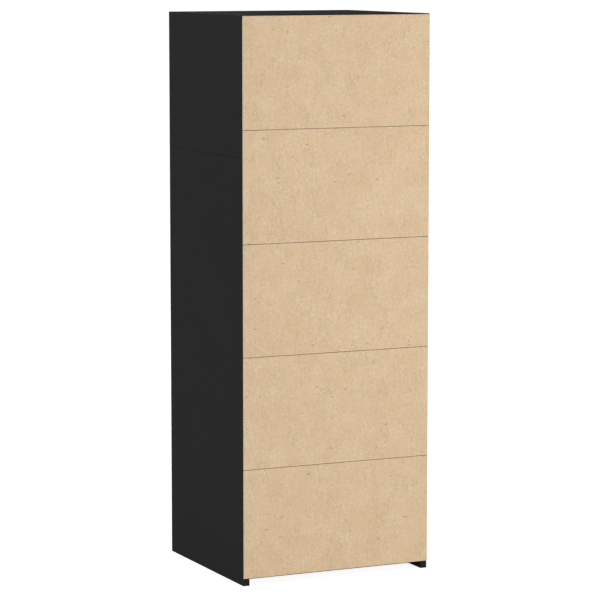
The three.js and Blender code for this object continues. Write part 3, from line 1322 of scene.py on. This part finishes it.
@dataclass
class DrawerBank:
    """All the drawers. The top one is modelled, and the others are copies of it lower down.

    Attributes:
        grip_ease: Radius where the finger cut-out meets the front's top edge.
        groove_play: Room round the drawer bottom in its groove.
        cam_from_front: Front of a box side to its cams.
        back_screw_drop: Top or bottom edge of a box's back to its screws.
    """

    palette: Palette
    fittings: Fittings
    slides: SlidePair
    stock: BoardStock = field(default_factory=BoardStock)
    box_stock: BoardStock = field(default_factory=lambda: BoardStock(ease=0.4 * MM))
    hardboard: HardboardSheet = field(default_factory=HardboardSheet)
    count: int = 5
    grip_width: float = 120 * MM
    grip_depth: float = 28 * MM
    grip_radius: float = 14 * MM
    grip_ease: float = 6 * MM
    groove_depth: float = 5 * MM
    groove_play: float = 0.3 * MM
    cam_from_front: float = 26 * MM
    back_screw_drop: float = 30 * MM

    def build(self) -> None:
        """Builds drawer 1 and its slides, then copies them to the other bays."""
        masters = self._first_drawer()
        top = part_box("drawer_1_front")[0].z
        for number in range(2, self.count + 1):
            drop = Vector((0.0, 0.0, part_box(f"drawer_{number}_front")[0].z - top))
            for piece, seated in masters:
                name = piece.name
                for kind in ("drawer", "runner"):
                    name = name.replace(f"{kind}_1", f"{kind}_{number}")
                self._seat(copied(piece, name, drop), number, *seated)
        for piece, seated in masters:
            self._seat(piece, 1, *seated)

    def _seat(
        self, piece: bpy.types.Object, number: int, body: str, slot: Slot | None, node: str
    ) -> None:
        """Seats one piece of a bay, with the bay's number put into its body and node."""
        nodes = [node.format(number)] if node else []
        seat(piece, body.format(number), slot, *nodes)

    def _first_drawer(self) -> list[tuple[bpy.types.Object, tuple[str, Slot | None, str]]]:
        """Builds every piece of the first bay.

        Returns:
            Each piece with its body, slot and CAD node.
        """
        made = []

        def add(piece: bpy.types.Object, body: str, slot: Slot | None, node: str = "") -> None:
            """Lists a finished piece."""
            made.append((piece, (body, slot, node)))

        front = self._front()
        dress(front, *self.palette.board)
        add(front, "drawer_{}", Slot.MELAMINE, "drawer_{}_front")
        right = self._box_side()
        dress(right, *self.palette.board)
        left = copied(right, "drawer_1_side_left_board", mirrored=True)
        add(right, "drawer_{}", Slot.MELAMINE, "drawer_{}_side_right")
        add(left, "drawer_{}", Slot.MELAMINE, "drawer_{}_side_left")
        back = self.box_stock.board("drawer_1_back")
        dress(back, *self.palette.board)
        add(back, "drawer_{}", Slot.MELAMINE, "drawer_{}_back")
        bottom = self.hardboard.sheet("drawer_1_bottom", Facing.UP.vector)
        dress(bottom, self.palette.raw_underside, self.palette.lacquered, *self.palette.sheet_edges)
        add(bottom, "drawer_{}", Slot.DRAWER_HARDBOARD, "drawer_{}_bottom")
        for piece in self._box_fittings():
            add(piece, "drawer_{}", None)
        for part, piece in self.slides.rail(1).items():
            self._add_slide_part(add, part, piece, "drawer_{}", "drawer_{}_rail_")
        for part, piece in self.slides.runner(1).items():
            self._add_slide_part(add, part, piece, "carcass", "runner_{}_")
        return made

    def _add_slide_part(
        self, add: Callable[..., None], part: str, piece: bpy.types.Object, body: str, node: str
    ) -> None:
        """Dresses one part of a slide, mirrors it to the left, and lists both.

        Args:
            add: Lists a piece.
            part: Which part it is.
            piece: The right-hand part.
            body: The body that it moves with.
            node: The CAD node that the folded steel stands for, without its hand.
        """
        self.slides.dress_part(part, piece)
        left = copied(piece, piece.name.replace("right", "left"), mirrored=True)
        folded = part in ("channel", "profile")
        slot = Slot.STEEL if folded else None
        add(piece, body, slot, f"{node}right" if folded else "")
        add(left, body, slot, f"{node}left" if folded else "")

    def _front(self) -> bpy.types.Object:
        """Builds the front, with its finger cut-out and the groove for the drawer bottom."""
        low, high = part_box("drawer_1_front")
        front = block("drawer_1_front_board", low, high)
        half = self.grip_width / 2
        floor = high.z - self.grip_depth
        cutter = block("grip", (-half, low.y - MM, floor), (half, high.y + MM, high.z + self.grip_depth))

        def is_cutter_floor(edge: bmesh.types.BMEdge) -> bool:
            """Whether an edge runs from front to back along the cut-out's floor."""
            return runs_along(edge, 1) and all(abs(v.co.z - floor) < TOUCHING for v in edge.verts)

        def is_mouth(edge: bmesh.types.BMEdge) -> bool:
            """Whether an edge is where a side of the cut-out meets the front's top edge."""
            at_top = all(abs(v.co.z - high.z) < TOUCHING for v in edge.verts)
            at_side = all(abs(abs(v.co.x) - half) < TOUCHING for v in edge.verts)
            return runs_along(edge, 1) and at_top and at_side

        with editing(cutter, Pick.EDGE) as select:
            select(is_cutter_floor)
            bpy.ops.mesh.bevel(offset=self.grip_radius, segments=10)
        carve(front, cutter)
        with editing(front, Pick.EDGE) as select:
            select(is_mouth)
            bpy.ops.mesh.bevel(offset=self.grip_ease, segments=6)
        self.stock.tape_edges(front)
        bottom_low, bottom_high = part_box("drawer_1_bottom")
        near = (bottom_low.x - self.groove_play, high.y - self.groove_depth)
        self._cut_groove(front, near, (bottom_high.x + self.groove_play, high.y + MM))
        return front

    def _box_side(self) -> bpy.types.Object:
        """Builds the right side of the box, grooved for the drawer bottom."""
        low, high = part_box("drawer_1_side_right")
        side = self.box_stock.board("drawer_1_side_right")
        self._cut_groove(side, (low.x - MM, low.y - MM), (low.x + self.groove_depth, high.y + MM))
        return side

    def _cut_groove(
        self, board: bpy.types.Object, near: tuple[float, float], far: tuple[float, float]
    ) -> None:
        """Cuts the drawer bottom's groove into a board.

        Args:
            board: The board.
            near: X and Y of the groove's lowest corner.
            far: X and Y of its highest corner.
        """
        low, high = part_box("drawer_1_bottom")
        floor, roof = low.z - self.groove_play, high.z + self.groove_play
        carve(board, block("groove", (*near, floor), (*far, roof)))

    def _box_fittings(self) -> list[bpy.types.Object]:
        """Sets the cams that draw the front on, and the screws into the box's back."""
        made = []
        for side in Side:
            low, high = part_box(f"drawer_1_side_{side.value}")
            face = high.x if side is Side.RIGHT else low.x
            rise = (high.z - low.z) / 4
            places = [(face, low.y + self.cam_from_front, z) for z in (low.z + rise * 1.6, high.z - rise)]
            name = f"drawer_1_cams_{side.value}"
            cams = self.fittings.spread(name, self.fittings.cam(), places, side.outward)
            back_low, back_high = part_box("drawer_1_back")
            behind = (back_low.y + back_high.y) / 2
            heights = (back_low.z + self.back_screw_drop, back_high.z - self.back_screw_drop)
            screws = self.fittings.spread(
                f"drawer_1_back_screws_{side.value}",
                self.fittings.screw_head(),
                [(face, behind, z) for z in heights],
                side.outward,
            )
            for piece in (cams, screws):
                dress(piece, self.palette.zinc)
                made.append(piece)
        return made


# ---------------------------------------------------------------- studio


@dataclass(frozen=True)
class Lamp:
    """A square soft lamp that looks at the middle of the chest."""

    name: str
    place: tuple[float, float, float]
    size: float
    power: float
    target: tuple[float, float, float] = (0.0, 0.0, 0.6)

    def hang(self) -> None:
        """Adds the lamp to the scene."""
        data = bpy.data.lights.new(self.name, "AREA")
        data.size = self.size
        data.energy = self.power
        lamp = bpy.data.objects.new(self.name, data)
        bpy.context.scene.collection.objects.link(lamp)
        lamp.location = self.place
        sight = Vector(self.target) - Vector(self.place)
        lamp.rotation_euler = sight.to_track_quat("-Z", "Y").to_euler()


@dataclass
class Studio:
    """The pale floor, the soft light and the camera.

    Attributes:
        eye: The camera's place.
        heading: The way that the camera looks, as an angle from +X.
        tilt: How far it looks up.
        sky_low: The sky's light from the horizon.
        sky_high: The sky's light from above.
        floor_glow: How bright the floor is to the camera.
        floor_bounce: How bright it is to the chest.
    """

    floor_half: float = 150.0
    eye: tuple[float, float, float] = (2.6555, 5.684, 1.3694)
    heading: float = -2.0087
    tilt: float = -0.1228
    lens: float = 168.35
    sky_low: float = 0.25
    sky_high: float = 0.33
    floor_glow: float = 0.88
    floor_bounce: float = 0.08
    sensor: float = 36.0
    lamps: tuple[Lamp, ...] = (
        Lamp("key_lamp", (-1.5, 4.8, 0.8), 1.6, 196.0),
        Lamp("side_lamp", (5.0, 0.1, 0.9), 1.8, 61.0),
        Lamp("front_lamp", (1.0, -4.0, 3.3), 2.0, 82.0),
    )

    def build(self) -> None:
        """Builds the studio."""
        self._floor()
        self._light()
        self._camera()
        LOG.info("studio is ready")

    def _floor(self) -> None:
        """Lays a plain pale floor, faintly mottled, that looks near white to the camera."""
        deselect_everything()
        bpy.ops.mesh.primitive_plane_add(size=2 * self.floor_half)
        floor = bpy.context.object
        floor.name = "studio_floor"
        material, wiring, place = new_material("studio_floor")
        tone = wiring.noise(place, 3.0, detail=3.0)
        colour = wiring.mix(tone, (0.5, 0.5, 0.5, 1.0), (0.54, 0.54, 0.54, 1.0))
        seen = wiring.node("ShaderNodeLightPath").outputs["Is Camera Ray"]
        strength = wiring.ramp(seen, 0.0, 1.0, self.floor_bounce, self.floor_glow)
        glow = {"Emission Color": (1.0, 1.0, 1.0, 1.0), "Emission Strength": strength}
        surface(wiring, {"Base Color": colour, "Roughness": 0.95, "Specular IOR Level": 0.1, **glow})
        dress(floor, material)

    def _light(self) -> None:
        """Sets a sky that is white to the camera and dimmer as a light, and hangs the lamps."""
        world = bpy.data.worlds.new("studio_sky")
        bpy.context.scene.world = world
        world.use_nodes = True
        wiring = Wiring(world.node_tree)
        seen = wiring.node("ShaderNodeLightPath").outputs["Is Camera Ray"]
        direction = wiring.node("ShaderNodeTexCoord").outputs["Generated"]
        height = wiring.node("ShaderNodeSeparateXYZ", {0: direction}).outputs[2]
        lit = wiring.ramp(height, 0.0, 0.9, self.sky_low, self.sky_high)
        strength = wiring.ramp(seen, 0.0, 1.0, lit, 1.0)
        white = (1.0, 1.0, 1.0, 1.0)
        sky = wiring.node("ShaderNodeBackground", {"Color": white, "Strength": strength})
        wiring.node("ShaderNodeOutputWorld", {"Surface": sky.outputs[0]})
        for lamp in self.lamps:
            lamp.hang()
        view = bpy.context.scene.view_settings
        view.view_transform = "Standard"
        view.look = "None"

    def _camera(self) -> None:
        """Sets the camera behind the chest, a little above its top."""
        data = bpy.data.cameras.new("camera")
        data.lens = self.lens
        data.sensor_width = self.sensor
        camera = bpy.data.objects.new("camera", data)
        bpy.context.scene.collection.objects.link(camera)
        camera.location = self.eye
        camera.rotation_euler = (QUARTER_TURN + self.tilt, 0.0, self.heading - QUARTER_TURN)
        bpy.context.scene.camera = camera


def main() -> None:
    """Builds the studio and the chest."""
    logging.basicConfig(level=logging.INFO, format="%(name)s: %(message)s")
    Studio().build()
    palette = Palette(Effects())
    fittings = Fittings()
    Carcass(palette, fittings).build()
    DrawerBank(palette, fittings, SlidePair(palette, fittings)).build()
    fittings.put_away()


if __name__ == "__main__":
    main()
